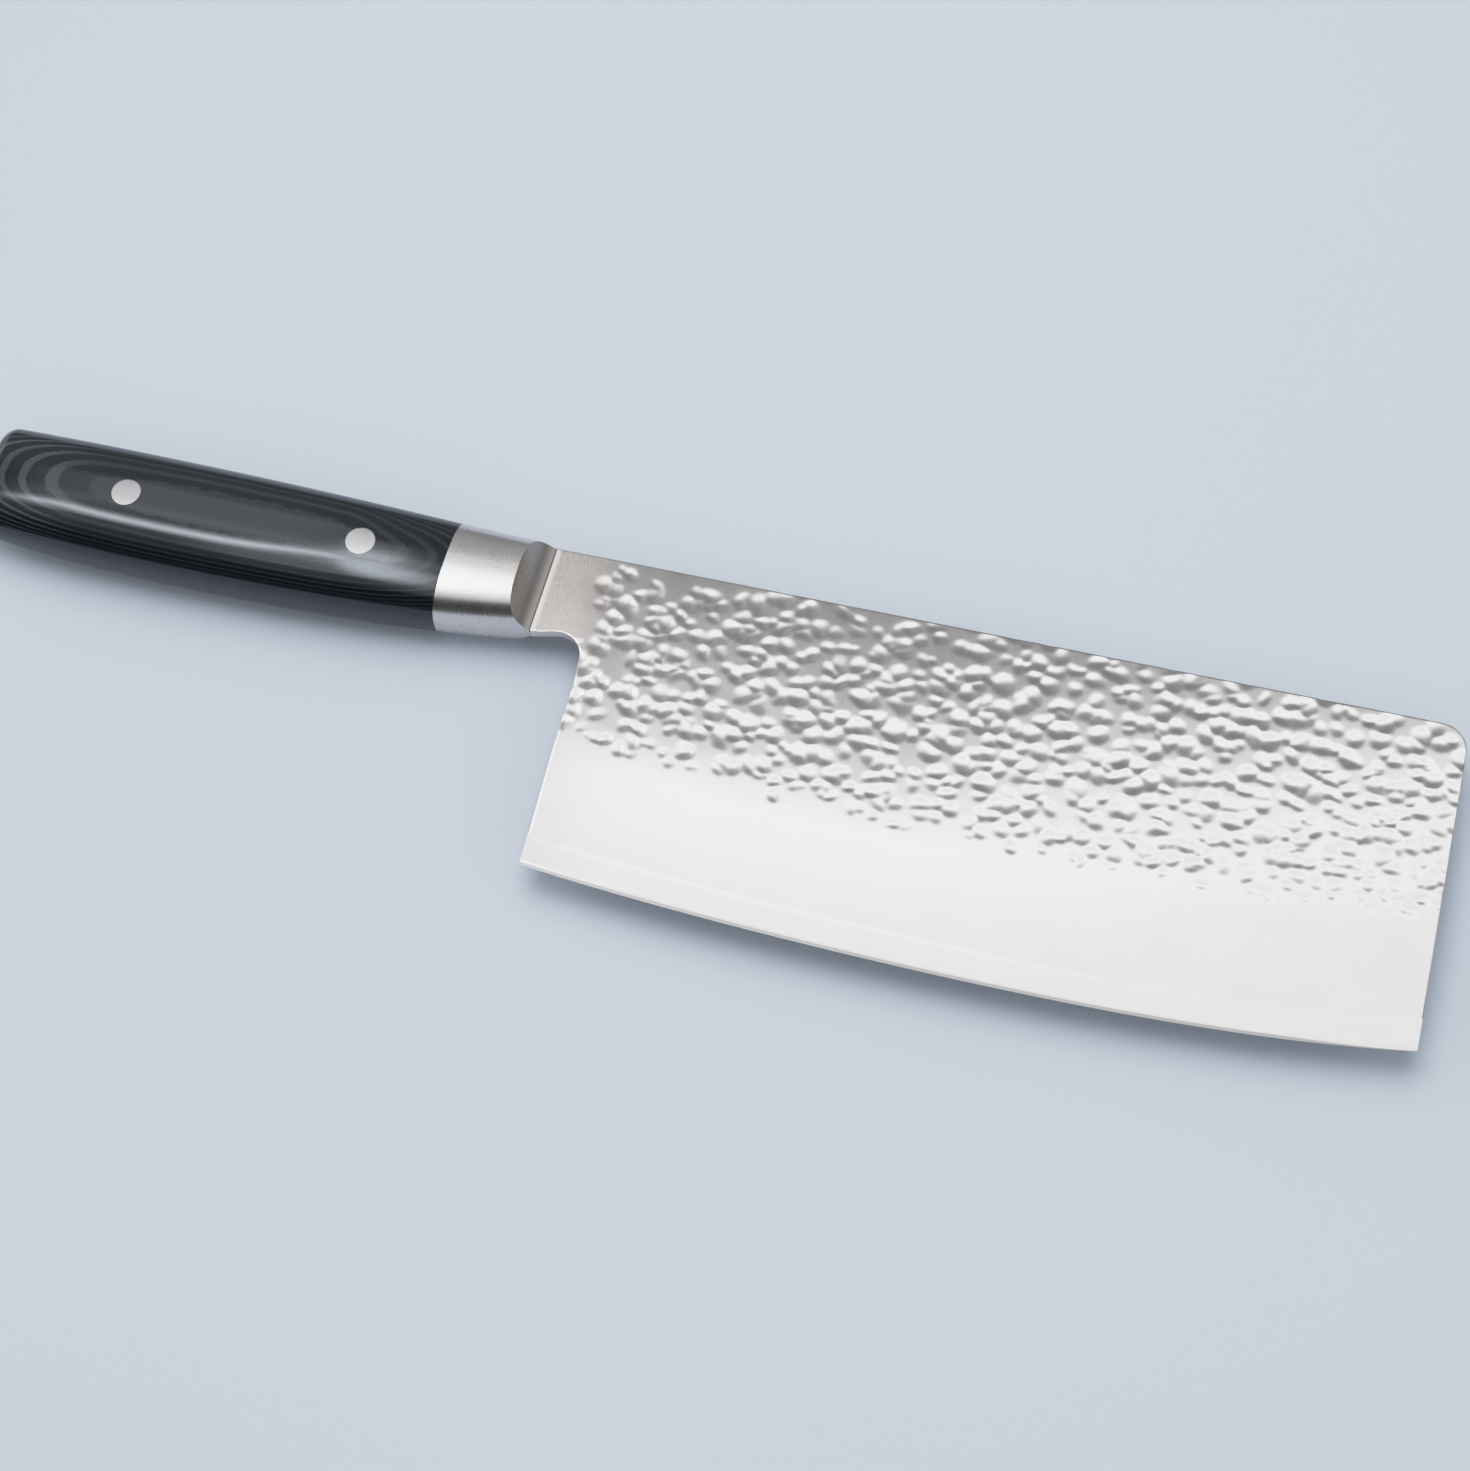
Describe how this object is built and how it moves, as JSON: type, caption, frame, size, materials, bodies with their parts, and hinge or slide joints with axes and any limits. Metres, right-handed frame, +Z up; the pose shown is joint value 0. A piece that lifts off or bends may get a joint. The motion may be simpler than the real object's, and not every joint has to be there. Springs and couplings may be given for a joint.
{
  "type": "chinese cleaver",
  "caption": "Wide rectangular kitchen cleaver with a hammered laminated blade, steel bolster and a black riveted handle, lying on its side.",
  "frame": {"origin": "middle of the bounding box in X and Y, on the plane that the handle lies on", "axes": "+X from the butt towards the blade's tip, +Y from the cutting edge towards the spine, +Z up, out of the blade's upper face"},
  "size_m": [0.32, 0.0795, 0.0178],
  "materials": {
    "core_steel": "sharpened, fine ground",
    "hammered_steel": "hammered above, ground to a bright satin below",
    "bolster_steel": "satin polished",
    "handle_laminate": "black canvas laminate, grey layer lines, semi-gloss",
    "rivet_steel": "satin, ground flush"
  },
  "bodies": {
    "root": {"blade_core": "core_steel", "cladding_top": "hammered_steel", "cladding_bottom": "hammered_steel", "bolster_top": "bolster_steel", "bolster_bottom": "bolster_steel", "scale_top": "handle_laminate", "scale_bottom": "handle_laminate", "rear_rivet_male": "rivet_steel", "rear_rivet_female": "rivet_steel", "front_rivet_male": "rivet_steel", "front_rivet_female": "rivet_steel"}
  },
  "joints": []
}
